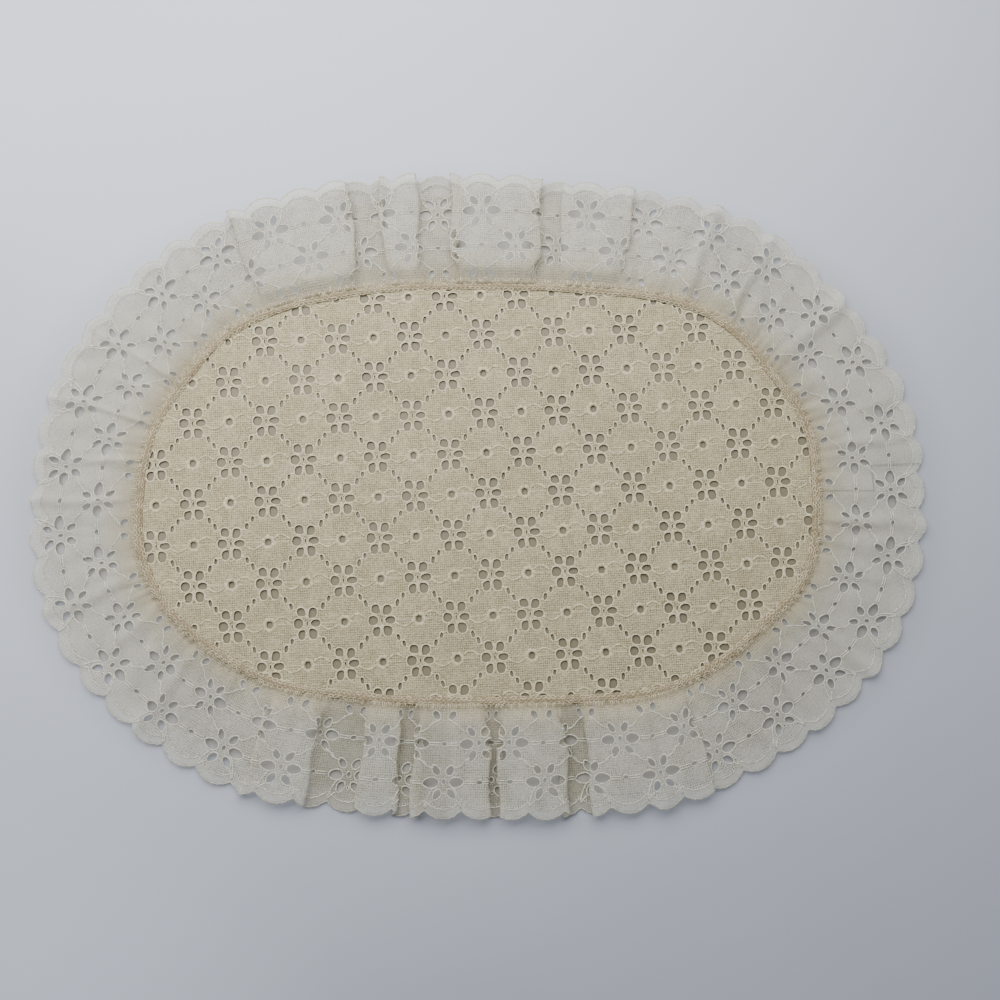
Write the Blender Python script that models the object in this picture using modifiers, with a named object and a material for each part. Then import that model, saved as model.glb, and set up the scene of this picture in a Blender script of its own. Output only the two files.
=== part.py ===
"""Oval eyelet doily with a gathered, scalloped eyelet ruffle, lying flat.

Three sewn pieces: the oval centre panel of eyelet cloth, the overlocked seam
that rolls its edge together with the ruffle's, and the ruffle itself, a long
straight strip of eyelet lace gathered onto the oval and laid in soft box folds.
Metres, +Z up, the surface it lies on is z = 0, the long axis of the oval is X.
"""
import math

import bmesh
import bpy
from mathutils import Matrix, Vector

MM = 0.001

# Oval of the seam, measured to the middle of the overlocked seam.
SEAM_HALF_LENGTH = 172.6 * MM
SEAM_HALF_WIDTH = 107.2 * MM
SEAM_POWER = 2.6                 # 2 is an ellipse, larger is squarer
SEAM_CENTRE = (-0.5 * MM, -1.3 * MM)
SEAM_STEPS = 1440                # samples of the oval when its length is taken

# Where the hand-cut oval strays from the true curve.
SEAM_STRAYS = (
    # place along the seam, reach to each side, outward stray (all mm)
    (65.0, 26.0, -4.0),
    (124.5, 34.0, 3.5),
    (406.0, 30.0, -5.0),
    (494.0, 34.0, 3.0),
    (592.0, 24.0, 2.0),
    (781.0, 28.0, 3.0),
    (850.5, 24.0, -4.0),
)

# Where the scalloped rim reaches further out, or less far, than the ruffle's depth.
RIM_STRAYS = (
    # place along the seam, reach to each side, outward stray (all mm)
    (268.0, 70.0, 3.8),
    (416.0, 25.0, 2.2),
    (480.0, 40.0, -2.8),
    (538.0, 32.0, -1.2),
    (731.0, 25.0, 1.3),
    (851.0, 20.0, 2.0),
)

CLOTH = 1.0 * MM                 # thickness of each sheet
SEAM_BAND = 3.6 * MM             # width of the overlocked seam
SEAM_RISE = 1.9 * MM             # its height above the table
SEAM_SIDES = 96                  # straight runs round the seam and the panel edge
FIT_GAP = 0.3 * MM               # daylight kept between sewn pieces
ROOT = SEAM_BAND / 2 + FIT_GAP   # from the seam line to the cloth on either side

# Panel cloth: groups of six eyelets on a diamond lattice.
GROUP_PITCH = 37.5 * MM
ROW_PITCH = 20.85 * MM
LATTICE_TURN = math.radians(2.08)
LATTICE_SHIFT = (-17.27 * MM, 16.88 * MM)  # a group's centre, from the origin
LATTICE_REACH = 7                          # rows and columns each way that are tried
EYELET_CORNERS = 6
EYELET_EDGE_MARGIN = 2.6 * MM              # cloth left between an eyelet and the edge
EYELET_REACH = 4.0 * MM                    # from an eyelet's centre to its far side
PANEL_EYELETS = (
    # across and up from the group's centre, width, height (mm)
    (-4.46, 0.0, 4.2, 4.9),
    (3.04, -5.5, 4.0, 5.0),
)

# Ruffle strip: flowers of petal eyelets in two rows, half a repeat apart.
REPEATS = 37                     # flowers in each row round the whole ruffle
RUFFLE_DEPTH = 56.5 * MM         # seam line to the tips of the scallops
SCALLOP_DEPTH = 3.6 * MM
SCALLOPS_PER_REPEAT = 2
STATIONS_PER_SCALLOP = 3
FIRST_FLOWER = -0.9 * MM         # cloth between the strip's start and a flower
PETAL_ROWS = (
    # distance out from the seam, offset along the strip in repeats
    (38.4, 0.0),
    (19.8, 0.5),
)
SIDE_PETAL_AT = 6.55 * MM        # from the flower's centre to its side petals
SIDE_PETAL_LENGTH = 7.4 * MM
SIDE_PETAL_WIDTH = 4.7 * MM
PETAL_CORNERS = 6
PETAL_FOLD_CLEARANCE = 5.2 * MM  # side petals nearer a tuck than this stay uncut
CUTTER_REACH = 2.2 * MM          # of each petal cutter above and below the cloth

# The folds grow out of the seam: rows of the strip, from the seam outwards.
LAID_ROW = 39.6 * MM             # the strip lies at its full length this far out
FOLD_START = 0.22                # share of a fold's height at the seam
LIFT_GROWTH = 8.0 * MM           # distance over which the folds rise to their height
LAP_START = 7.0 * MM             # distance out at which the tucks begin to overlap
LAP_GROWTH = 8.6 * MM            # and over which they double back fully
STRIP_ROWS = (ROOT, 9.5 * MM, 15.6 * MM)
SEAM_SMOOTHING = 17.0 * MM       # extra width over which a tuck spreads at the seam
END_HEIGHT = 1.7 * MM            # of the cloth's middle above the table at the ends
TUCK_BEND = 0.375                # share of a tuck's cloth in each of its two bends

# Box folds: the cloth steps up or down and doubles back under itself.
TUCKS = (
    # place along the seam, cloth taken up, height of the cloth after it (mm)
    (161.0, 5.0, 4.9),
    (193.0, 3.0, 1.0),
    (206.0, 14.0, 5.9),
    (246.0, 13.0, 1.0),
    (265.0, 4.5, 4.8),
    (281.5, 6.5, 1.0),
    (297.5, 9.5, 5.2),
    (346.0, 6.0, 1.7),
    (595.5, 6.0, 4.9),
    (619.5, 3.0, 1.2),
    (641.5, 4.5, 4.6),
    (657.0, 6.5, 1.0),
    (667.0, 14.0, 6.0),
    (699.0, 12.0, 1.0),
    (707.0, 9.0, 5.4),
    (736.0, 10.0, 1.0),
    (748.0, 4.0, 4.8),
    (798.0, 5.0, 1.7),
)

# Soft ridges, where a little cloth rises and falls again.
RIDGES = (
    # place along the seam, cloth taken up, width of the ridge (mm)
    (21.0, 0.8, 9.0),
    (70.0, 2.6, 16.0),
    (102.5, 1.6, 10.0),
    (126.5, 2.4, 13.0),
    (369.5, 0.8, 10.0),
    (406.0, 0.7, 7.0),
    (431.0, 0.7, 7.0),
    (452.0, 0.9, 8.0),
    (471.0, 1.1, 10.0),
    (508.5, 1.2, 12.0),
    (552.5, 2.2, 13.0),
    (685.0, 0.6, 10.0),
    (722.0, 0.8, 14.0),
    (777.0, 1.4, 13.0),
    (841.0, 1.2, 12.0),
    (866.5, 2.0, 12.0),
    (915.5, 1.6, 13.0),
)

CREAM = (0.56, 0.50, 0.38, 1.0)
IVORY = (0.66, 0.64, 0.57, 1.0)
TAN = (0.42, 0.33, 0.21, 1.0)


# ---------------------------------------------------------------- the oval

def ovalPoint(angle):
    """A point of the true oval, at this polar angle about its centre."""
    across = abs(math.cos(angle) / SEAM_HALF_LENGTH) ** SEAM_POWER
    up = abs(math.sin(angle) / SEAM_HALF_WIDTH) ** SEAM_POWER
    radius = (across + up) ** (-1.0 / SEAM_POWER)
    return Vector((radius * math.cos(angle), radius * math.sin(angle)))


def interpolate(x, xs, ys):
    """Straight-line reading of a rising table."""
    low, high = 0, len(xs) - 1
    while high - low > 1:
        middle = (low + high) // 2
        if xs[middle] <= x:
            low = middle
        else:
            high = middle
    part = (x - xs[low]) / (xs[high] - xs[low])
    return ys[low] + (ys[high] - ys[low]) * part


class Oval:
    """The seam line as a curve of its own length, with its outward normal."""

    def __init__(self):
        turns = [2 * math.pi * i / SEAM_STEPS for i in range(SEAM_STEPS + 1)]
        points = [ovalPoint(angle) for angle in turns]
        self.along = [0.0]
        self.laid = [0.0]
        self.x = [p.x for p in points]
        self.y = [p.y for p in points]
        self.heading = []
        for i in range(SEAM_STEPS + 1):
            before = points[(i - 1) % SEAM_STEPS]
            after = points[(i + 1) % SEAM_STEPS]
            heading = math.atan2(after.y - before.y, after.x - before.x)
            while self.heading and heading < self.heading[-1] - math.pi:
                heading += 2 * math.pi
            self.heading.append(heading)
        for i in range(SEAM_STEPS):
            step = (points[i + 1] - points[i]).length
            turn = self.heading[i + 1] - self.heading[i]
            self.along.append(self.along[-1] + step)
            self.laid.append(self.laid[-1] + step + turn * LAID_ROW)
        self.length = self.along[-1]
        self.laidLength = self.laid[-1]

    def fromLaid(self, laid):
        """Place along the seam, from the length laid out at LAID_ROW."""
        rounds = math.floor(laid / self.laidLength)
        rest = laid - rounds * self.laidLength
        return rounds * self.length + interpolate(rest, self.laid, self.along)

    def toLaid(self, along):
        return interpolate(along, self.along, self.laid)

    def stray(self, along, table):
        """Sum of the table's bumps at this place along the seam."""
        total = 0.0
        for place, reach, amount in table:
            away = abs(along - place * MM) % self.length
            away = min(away, self.length - away) / (reach * MM)
            total += amount * MM * math.exp(-away * away)
        return total

    def point(self, along, out):
        """The point this far outside the seam, at this place along it."""
        along = along % self.length
        heading = interpolate(along, self.along, self.heading)
        offset = out + self.stray(along, SEAM_STRAYS)
        x = interpolate(along, self.along, self.x) + math.sin(heading) * offset
        y = interpolate(along, self.along, self.y) - math.cos(heading) * offset
        return Vector((x + SEAM_CENTRE[0], y + SEAM_CENTRE[1]))


# ---------------------------------------------------------------- the folds

def smooth(t):
    t = min(max(t, 0.0), 1.0)
    return t * t * (3.0 - 2.0 * t)


def tuckShares(turn):
    """Rise and cloth taken, as shares of a tuck's cloth, for the angle it turns through."""
    bend = 2 * TUCK_BEND
    hold = 1.0 - bend
    rise = bend * (1.0 - math.cos(turn)) / turn + hold * math.sin(turn)
    advance = bend * math.sin(turn) / turn + hold * math.cos(turn)
    return rise, 1.0 - advance


class Tuck:
    """The cloth turns up (or down), doubles back and turns level again."""

    STEPS = 24

    def __init__(self, place, taken, rise):
        self.place = place
        self.taken = taken
        self.rise = rise
        low, high = math.radians(20), math.radians(210)
        for _ in range(40):
            self.turn = (low + high) / 2
            up, used = tuckShares(self.turn)
            if up * taken > used * abs(rise):
                low = self.turn
            else:
                high = self.turn
        self.cloth = abs(rise) / up
        self.table = [(0.0, 0.0)]
        for i in range(self.STEPS):
            angle = self.angle((i + 0.5) / self.STEPS)
            step = self.cloth / self.STEPS
            run, climb = self.table[-1]
            self.table.append((run + step * math.cos(angle), climb + step * math.sin(angle)))
        run, climb = self.table[-1]
        missed = self.cloth - taken - run
        self.table = [(a + missed * i / self.STEPS, b * abs(rise) / climb)
                      for i, (a, b) in enumerate(self.table)]
        self.start = 0.0             # cloth coordinate, set when the strip is laid

    def angle(self, t):
        return self.turn * min(1.0, t / TUCK_BEND, (1.0 - t) / TUCK_BEND)

    def columns(self):
        """Shares of the tuck's cloth where the mesh has its columns, most in the two bends."""
        parts = 4 if self.turn > math.radians(150) else 3
        bend = [TUCK_BEND * i / parts for i in range(parts + 1)]
        return bend + [1.0 - share for share in reversed(bend)]

    def read(self, cloth):
        """Run and climb after this much of the strip, counted from the tuck's start."""
        into = min(max(cloth - self.start, 0.0), self.cloth)
        place = into / self.cloth * self.STEPS
        i = min(int(place), self.STEPS - 1)
        run = self.table[i][0] + (self.table[i + 1][0] - self.table[i][0]) * (place - i)
        climb = self.table[i][1] + (self.table[i + 1][1] - self.table[i][1]) * (place - i)
        return into - run, math.copysign(climb, self.rise)

    def readAtSeam(self, cloth):
        """At the seam the same cloth is gathered evenly over a wider stretch."""
        wide = self.cloth + SEAM_SMOOTHING
        share = smooth((cloth - self.start - self.cloth / 2) / wide + 0.5)
        return self.taken * share, self.rise * share


class Ridge:
    """The cloth rises and falls again over its width."""

    def __init__(self, place, taken, width):
        self.place = place
        self.taken = taken
        self.cloth = width + taken
        self.height = math.sqrt(taken * width) * 0.6
        self.start = 0.0

    def read(self, cloth):
        t = min(max((cloth - self.start) / self.cloth, 0.0), 1.0)
        return self.taken * smooth(t), self.height * math.sin(math.pi * t) ** 2

    def readAtSeam(self, cloth):
        return self.read(cloth)

    def columns(self):
        return [0.0, 0.25, 0.5, 0.75, 1.0]


class Strip:
    """The ruffle's strip: cloth coordinates to places in space."""

    def __init__(self, oval):
        self.oval = oval
        level = END_HEIGHT
        folds = []
        for place, taken, height in TUCKS:
            folds.append(Tuck(place * MM, taken * MM, height * MM - level))
            level = height * MM
        folds += [Ridge(place * MM, taken * MM, width * MM) for place, taken, width in RIDGES]
        self.folds = sorted(folds, key=lambda fold: fold.place)
        used = 0.0
        for fold in self.folds:
            middle = oval.toLaid(fold.place) + used + fold.taken / 2
            fold.start = middle - fold.cloth / 2
            used += fold.taken
        self.length = oval.laidLength + used
        self.repeat = self.length / REPEATS

    def point(self, cloth, out):
        """Middle of the cloth at this place along the strip and out from the seam."""
        lapped = smooth((out - LAP_START) / LAP_GROWTH)
        laid = cloth
        height = END_HEIGHT
        for fold in self.folds:
            taken, climb = fold.read(cloth)
            takenAtSeam, climbAtSeam = fold.readAtSeam(cloth)
            laid -= takenAtSeam + (taken - takenAtSeam) * lapped
            height += climbAtSeam + (climb - climbAtSeam) * lapped
        floor = CLOTH / 2
        share = FOLD_START + (1.0 - FOLD_START) * smooth((out - ROOT) / LIFT_GROWTH)
        flat = self.oval.point(self.oval.fromLaid(laid), out)
        return Vector((flat.x, flat.y, floor + (height - floor) * share))

    def alongSeam(self, cloth):
        """Place along the seam that this cloth lies outside of."""
        return self.oval.fromLaid(cloth - sum(fold.read(cloth)[0] for fold in self.folds))

    def rim(self, cloth):
        """Distance out to the scalloped edge."""
        phase = (cloth - FIRST_FLOWER) / self.repeat * SCALLOPS_PER_REPEAT
        depth = RUFFLE_DEPTH + self.oval.stray(self.alongSeam(cloth), RIM_STRAYS)
        return depth - SCALLOP_DEPTH * math.sin(math.pi * phase) ** 2

    def stations(self):
        """Cloth coordinates of the mesh's columns: every scallop, closer at the folds."""
        count = REPEATS * SCALLOPS_PER_REPEAT * STATIONS_PER_SCALLOP
        spots, foldSpots = [], []
        for fold in self.folds:
            foldSpots += [fold.start + fold.cloth * share for share in fold.columns()]
        near = 1.6 * MM
        for i in range(count):
            spot = FIRST_FLOWER + self.length * i / count
            gaps = [abs((spot - other + self.length / 2) % self.length - self.length / 2)
                    for other in foldSpots]
            if min(gaps) > near:
                spots.append(spot)
        return sorted(spot % self.length for spot in spots + foldSpots)

    def inTuck(self, cloth, clearance):
        for fold in self.folds:
            if isinstance(fold, Tuck):
                away = (cloth - fold.start - fold.cloth / 2 + self.length / 2) % self.length
                if abs(away - self.length / 2) < fold.cloth / 2 + clearance:
                    return True
        return False


# ---------------------------------------------------------------- building

def clearScene():
    for thing in list(bpy.data.objects):
        bpy.data.objects.remove(thing)


def makeMaterial(name, colour, roughness):
    material = bpy.data.materials.new(name)
    material.use_nodes = True
    shader = material.node_tree.nodes["Principled BSDF"]
    shader.inputs["Base Color"].default_value = colour
    shader.inputs["Roughness"].default_value = roughness
    shader.inputs["Metallic"].default_value = 0.0
    return material


def makeCollection(name):
    collection = bpy.data.collections.new(name)
    bpy.context.scene.collection.children.link(collection)
    return collection


def addMesh(name, mesh, collection, material=None):
    thing = bpy.data.objects.new(name, mesh)
    collection.objects.link(thing)
    if material:
        thing.data.materials.append(material)
    return thing


def curveToMesh(thing, name, weld=0.00001):
    """The evaluated curve as a closed mesh object, which takes the curve's place."""
    graph = bpy.context.evaluated_depsgraph_get()
    mesh = bpy.data.meshes.new_from_object(thing.evaluated_get(graph))
    shell = bmesh.new()
    shell.from_mesh(mesh)
    bmesh.ops.remove_doubles(shell, verts=shell.verts, dist=weld)
    bmesh.ops.recalc_face_normals(shell, faces=shell.faces)
    shell.to_mesh(mesh)
    shell.free()
    mesh.name = name
    bpy.data.objects.remove(thing)
    return mesh


def addLoop(curve, points):
    spline = curve.splines.new("POLY")
    spline.points.add(len(points) - 1)
    for spot, point in zip(spline.points, points):
        spot.co = (point[0], point[1], 0.0, 1.0)
    spline.use_cyclic_u = True


def ellipse(centre, width, height, corners, turn=0.0):
    points = []
    for i in range(corners):
        angle = 2 * math.pi * (i + 0.5) / corners
        x = math.cos(angle) * width / 2
        y = math.sin(angle) * height / 2
        points.append(Vector((centre[0] + x * math.cos(turn) - y * math.sin(turn),
                              centre[1] + x * math.sin(turn) + y * math.cos(turn))))
    return points


def ovalLoop(oval, out):
    return [oval.point(oval.length * i / SEAM_SIDES, out) for i in range(SEAM_SIDES)]


def insideOval(point):
    """True where an eyelet leaves enough cloth to the panel's edge."""
    x, y = point[0] - SEAM_CENTRE[0], point[1] - SEAM_CENTRE[1]
    edge = ovalPoint(math.atan2(y, x))
    return math.hypot(x, y) < edge.length - ROOT - EYELET_EDGE_MARGIN - EYELET_REACH


def groupCentres():
    """Centres of the eyelet groups on the turned diamond lattice."""
    across = Vector((math.cos(LATTICE_TURN), math.sin(LATTICE_TURN)))
    up = Vector((-across.y, across.x))
    centres = []
    for row in range(-LATTICE_REACH, LATTICE_REACH + 1):
        for column in range(-LATTICE_REACH, LATTICE_REACH + 1):
            sideways = (column + 0.5 * (row % 2)) * GROUP_PITCH
            centres.append(Vector(LATTICE_SHIFT) + across * sideways + up * (row * ROW_PITCH))
    return centres


def buildPanel(oval, collection):
    """The flat oval, its largest eyelets cut through."""
    outline = bpy.data.curves.new("panel", "CURVE")
    outline.dimensions = "2D"
    outline.fill_mode = "BOTH"
    outline.extrude = CLOTH / 2
    addLoop(outline, ovalLoop(oval, -ROOT))
    for centre in groupCentres():
        for x, y, width, height in PANEL_EYELETS:
            spot = centre + Vector((x * MM, y * MM))
            if insideOval(spot):
                addLoop(outline, ellipse(spot, width * MM, height * MM, EYELET_CORNERS))
    thing = bpy.data.objects.new("outline", outline)
    collection.objects.link(thing)
    bpy.context.view_layer.update()
    mesh = curveToMesh(thing, "panel")
    mesh.transform(Matrix.Translation((0.0, 0.0, CLOTH / 2)))
    return addMesh("panel", mesh, collection, makeMaterial("panelCloth", CREAM, 0.85))


def buildSeam(oval, collection):
    """The overlocked seam, a flattened cord on the joint of panel and ruffle."""
    path = bpy.data.curves.new("seam", "CURVE")
    path.dimensions = "3D"
    path.bevel_depth = SEAM_BAND / 2
    path.bevel_resolution = 1
    addLoop(path, ovalLoop(oval, 0.0))
    thing = bpy.data.objects.new("path", path)
    collection.objects.link(thing)
    bpy.context.view_layer.update()
    mesh = curveToMesh(thing, "seam")
    highest = max(vertex.co.z for vertex in mesh.vertices)
    for vertex in mesh.vertices:
        vertex.co.z = (vertex.co.z / highest + 1.0) * SEAM_RISE / 2
    seam = addMesh("seam", mesh, collection, makeMaterial("seamThread", TAN, 0.7))
    seam.data.shade_smooth()
    return seam


def buildPetalCutters(strip, collection):
    """One prism for each side petal that lies clear of the tucks."""
    cutters = bmesh.new()
    for out, offset in PETAL_ROWS:
        for flower in range(REPEATS):
            for side in (-1, 1):
                middle = FIRST_FLOWER + (flower + offset) * strip.repeat + side * SIDE_PETAL_AT
                if strip.inTuck(middle, PETAL_FOLD_CLEARANCE):
                    continue
                outline = ellipse((middle, out * MM), SIDE_PETAL_LENGTH,
                                  SIDE_PETAL_WIDTH, PETAL_CORNERS)
                ring = [strip.point(p.x, p.y) for p in outline]
                face = cutters.faces.new([cutters.verts.new(p) for p in ring])
                face.normal_update()
                normal = face.normal.copy()
                bmesh.ops.translate(cutters, verts=face.verts, vec=-normal * CUTTER_REACH)
                raised = bmesh.ops.extrude_face_region(cutters, geom=[face])
                tops = [v for v in raised["geom"] if isinstance(v, bmesh.types.BMVert)]
                bmesh.ops.translate(cutters, verts=tops, vec=normal * CUTTER_REACH * 2)
    bmesh.ops.recalc_face_normals(cutters, faces=cutters.faces)
    mesh = bpy.data.meshes.new("petalCutters")
    cutters.to_mesh(mesh)
    cutters.free()
    thing = addMesh("petalCutters", mesh, collection)
    thing.hide_render = True
    thing.display_type = "WIRE"
    return thing


def buildRuffle(strip, collection, cutterCollection):
    """A flat grid of the strip, bent round the oval into its folds, then thickened."""
    stations = strip.stations()
    rows = len(STRIP_ROWS) + 1
    sheet = bmesh.new()
    bmesh.ops.create_grid(sheet, x_segments=len(stations), y_segments=rows - 1, size=1.0)
    sheet.verts.ensure_lookup_table()
    columns = len(stations) + 1
    for index, vertex in enumerate(sheet.verts):
        column, row = index % columns, index // columns
        cloth = stations[column] if column < len(stations) else stations[0] + strip.length
        out = STRIP_ROWS[row] if row < len(STRIP_ROWS) else strip.rim(cloth)
        vertex.co = strip.point(cloth, out)
    bmesh.ops.remove_doubles(sheet, verts=sheet.verts, dist=0.00002)
    bmesh.ops.recalc_face_normals(sheet, faces=sheet.faces)
    mesh = bpy.data.meshes.new("ruffle")
    sheet.to_mesh(mesh)
    sheet.free()
    ruffle = addMesh("ruffle", mesh, collection, makeMaterial("ruffleCloth", IVORY, 0.8))
    thicken = ruffle.modifiers.new("thickness", "SOLIDIFY")
    thicken.thickness = CLOTH
    thicken.offset = 0.0
    thicken.use_even_offset = True
    triangles = ruffle.modifiers.new("triangles", "TRIANGULATE")
    triangles.quad_method = "SHORTEST_DIAGONAL"
    cut = ruffle.modifiers.new("petals", "BOOLEAN")
    cut.operation = "DIFFERENCE"
    cut.solver = "EXACT"
    cut.object = buildPetalCutters(strip, cutterCollection)
    return ruffle


def main():
    clearScene()
    doily = makeCollection("doily")
    cutterCollection = makeCollection("cutters")
    oval = Oval()
    strip = Strip(oval)
    buildPanel(oval, doily)
    buildSeam(oval, doily)
    buildRuffle(strip, doily, cutterCollection)


main()
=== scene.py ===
import math
import bpy
import numpy as np
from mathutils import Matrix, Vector
from mathutils.geometry import delaunay_2d_cdt


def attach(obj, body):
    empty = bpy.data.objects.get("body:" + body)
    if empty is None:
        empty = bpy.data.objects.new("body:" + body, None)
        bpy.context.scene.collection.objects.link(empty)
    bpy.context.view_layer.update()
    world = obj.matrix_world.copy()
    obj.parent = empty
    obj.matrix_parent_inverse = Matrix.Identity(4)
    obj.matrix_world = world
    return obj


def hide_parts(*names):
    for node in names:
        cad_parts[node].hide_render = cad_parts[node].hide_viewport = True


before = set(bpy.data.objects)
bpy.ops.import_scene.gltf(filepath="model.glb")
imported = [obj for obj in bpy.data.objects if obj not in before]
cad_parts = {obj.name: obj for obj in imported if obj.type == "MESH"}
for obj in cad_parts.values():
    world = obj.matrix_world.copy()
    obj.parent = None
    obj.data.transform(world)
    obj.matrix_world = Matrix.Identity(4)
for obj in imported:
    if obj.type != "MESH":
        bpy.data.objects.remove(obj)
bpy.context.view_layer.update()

mm = 0.001                      # the charts below are in millimetres
rng = np.random.default_rng(11)


# the seam's oval, as a curve of its own length

oval = dict(
    halfLength=172.6, halfWidth=107.2, power=2.6,
    centre=(-0.5, -1.3),
    samples=1440,
    laidRow=39.6,               # the strip lies at its full length this far out
    strays=[                    # place along the seam, reach, outward stray
        (65, 26, -4), (124.5, 34, 3.5), (406, 30, -5), (494, 34, 3), (592, 24, 2),
        (781, 28, 3), (850.5, 24, -4),
    ],
)

turns = np.linspace(0, 2 * np.pi, oval["samples"] + 1)
radii = (np.abs(np.cos(turns) / oval["halfLength"]) ** oval["power"]
         + np.abs(np.sin(turns) / oval["halfWidth"]) ** oval["power"]) ** (-1 / oval["power"])
ovalX, ovalY = radii * np.cos(turns), radii * np.sin(turns)
stepX = np.roll(ovalX[:-1], -1) - np.roll(ovalX[:-1], 1)
stepY = np.roll(ovalY[:-1], -1) - np.roll(ovalY[:-1], 1)
ovalHeading = np.unwrap(np.arctan2(stepY, stepX))
ovalHeading = np.append(ovalHeading, ovalHeading[0] + 2 * np.pi)
ovalStep = np.hypot(np.diff(ovalX), np.diff(ovalY))
ovalAlong = np.append(0, np.cumsum(ovalStep))
ovalLaid = np.append(0, np.cumsum(ovalStep + np.diff(ovalHeading) * oval["laidRow"]))
seamLength, laidLength = ovalAlong[-1], ovalLaid[-1]


def strayAt(along, table):
    total = np.zeros_like(along)
    for place, reach, amount in table:
        away = np.abs(along - place) % seamLength
        away = np.minimum(away, seamLength - away) / reach
        total += amount * np.exp(-away * away)
    return total


def seamPoint(along, out):
    # x and y of the point this far outside the seam line
    along = along % seamLength
    heading = np.interp(along, ovalAlong, ovalHeading)
    offset = out + strayAt(along, oval["strays"])
    x = np.interp(along, ovalAlong, ovalX) + np.sin(heading) * offset + oval["centre"][0]
    y = np.interp(along, ovalAlong, ovalY) - np.cos(heading) * offset + oval["centre"][1]
    return x, y


def fromLaid(laid):
    rounds = np.floor(laid / laidLength)
    return rounds * seamLength + np.interp(laid - rounds * laidLength, ovalLaid, ovalAlong)


def smooth(t):
    t = np.clip(t, 0, 1)
    return t * t * (3 - 2 * t)


def paired(x, y):
    return np.stack([x, y], axis=1)


def roundTurn(count):
    return np.linspace(0, 2 * np.pi, count, endpoint=False)


# the ruffle: a strip of cloth, its folds set out along the seam

ruffle = dict(
    repeats=37,                 # flowers in each row round the whole ruffle
    depth=56.5,                 # seam line to the tips of the scallops
    scallopDepth=4.1,
    firstFlower=-0.9,
    outerRow=38.3, innerRow=19.7,
    innerEdge=1.0,              # tucked under the seam's thread
    thickness=0.32,
    foldStart=0.14, liftFrom=2.1, liftGrowth=8.0, lapStart=7.0, lapGrowth=8.6,
    seamSmoothing=17.0, endHeight=1.7, floor=0.5,
    ridgeHeight=0.34,
    bend=0.375,                 # share of a tuck's cloth in each of its two bends
    columnGap=1.5, tuckGap=0.85, rowGap=1.62, holeMargin=0.7,
    cut=dict(low=-0.9, high=12.7, step=29.0, margin=0.7),       # where the strip's ends meet
    rimStrays=[                 # place, reach, further out
        (268, 70, 3.8), (416, 25, 2.2), (480, 40, -2.8), (538, 32, -1.2), (731, 25, 1.3),
        (851, 20, 2),
    ],
    tucks=[                     # place, cloth taken up, height after it
        (161, 5, 4.9), (193, 3, 1), (206, 14, 5.9), (246, 13, 1), (265, 4.5, 4.8),
        (281.5, 6.5, 1), (297.5, 9.5, 5.2), (346, 6, 1.7), (595.5, 6, 4.9), (619.5, 3, 1.2),
        (641.5, 4.5, 4.6), (657, 6.5, 1), (667, 14, 6), (699, 12, 1), (707, 9, 5.4),
        (736, 10, 1), (748, 4, 4.8), (798, 5, 1.7),
    ],
    doubled=[(674.5, 8.0, 0.6)],    # painted shade where it lies double: place, reach, share
    ridges=[                    # place, cloth taken up, width
        (21, 0.8, 9), (70, 2.6, 16), (102.5, 1.6, 10), (126.5, 2.4, 13), (369.5, 0.8, 10),
        (406, 0.7, 7), (431, 0.7, 7), (452, 0.9, 8), (471, 1.1, 10), (508.5, 1.2, 12),
        (552.5, 2.2, 13), (685, 0.6, 10), (722, 0.8, 14), (777, 1.4, 13), (841, 1.2, 12),
        (866.5, 2, 12), (915.5, 1.6, 13),
    ],
    creases=[                   # place, lean, width, height, from, to
        (406, 0.05, 0.9, 0.55, 0, 52), (431, -0.06, 0.9, 0.6, 0, 46),
        (452, 0.10, 1, 0.5, 0, 28), (471, 0.02, 1, 0.55, 2, 40), (485, -0.12, 1, 0.6, 16, 36),
        (617, 0.08, 1.1, 0.6, 0, 26), (33, 0.10, 1.5, 0.4, 4, 50),
        (88, -0.08, 1.4, 0.45, 0, 38), (141, 0.12, 1.3, 0.5, 0, 44),
        (232, 0.03, 1.5, 0.4, 0, 50), (323, -0.10, 1.4, 0.5, 0, 36),
        (388, 0.12, 1.2, 0.4, 0, 34), (527, 0.10, 1.2, 0.5, 0, 40),
        (574, -0.12, 1.4, 0.5, 4, 48), (722, 0.06, 1.5, 0.5, 0, 50),
        (761, -0.10, 1.4, 0.5, 0, 40), (819, 0.14, 1.6, 0.5, 2, 46),
        (853, -0.08, 1.3, 0.5, 0, 30), (892, 0.10, 1.5, 0.5, 0, 42),
    ],
    gathers=dict(count=214, height=0.55, reach=7.5),    # fine ones, next to the seam
    swells=dict(count=71, height=0.40, middle=14.0, reach=15.0),
    waves=[                     # count, height, lean, where full, wander, its count
        (38, 0.32, 15, 30, 2, 7), (83, 0.22, -8, 14, 1, 11),
    ],
    sway=dict(amount=0.8, length=6.5),                  # how far a tuck's edge wanders
    recessLevel=1.5, recessSoft=0.45, recessTop=0.35,   # low cloth gets painted shade, and how much less of it at the top
    fray=dict(count=1031, depth=0.05), scallopPower=2.1,
)


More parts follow.
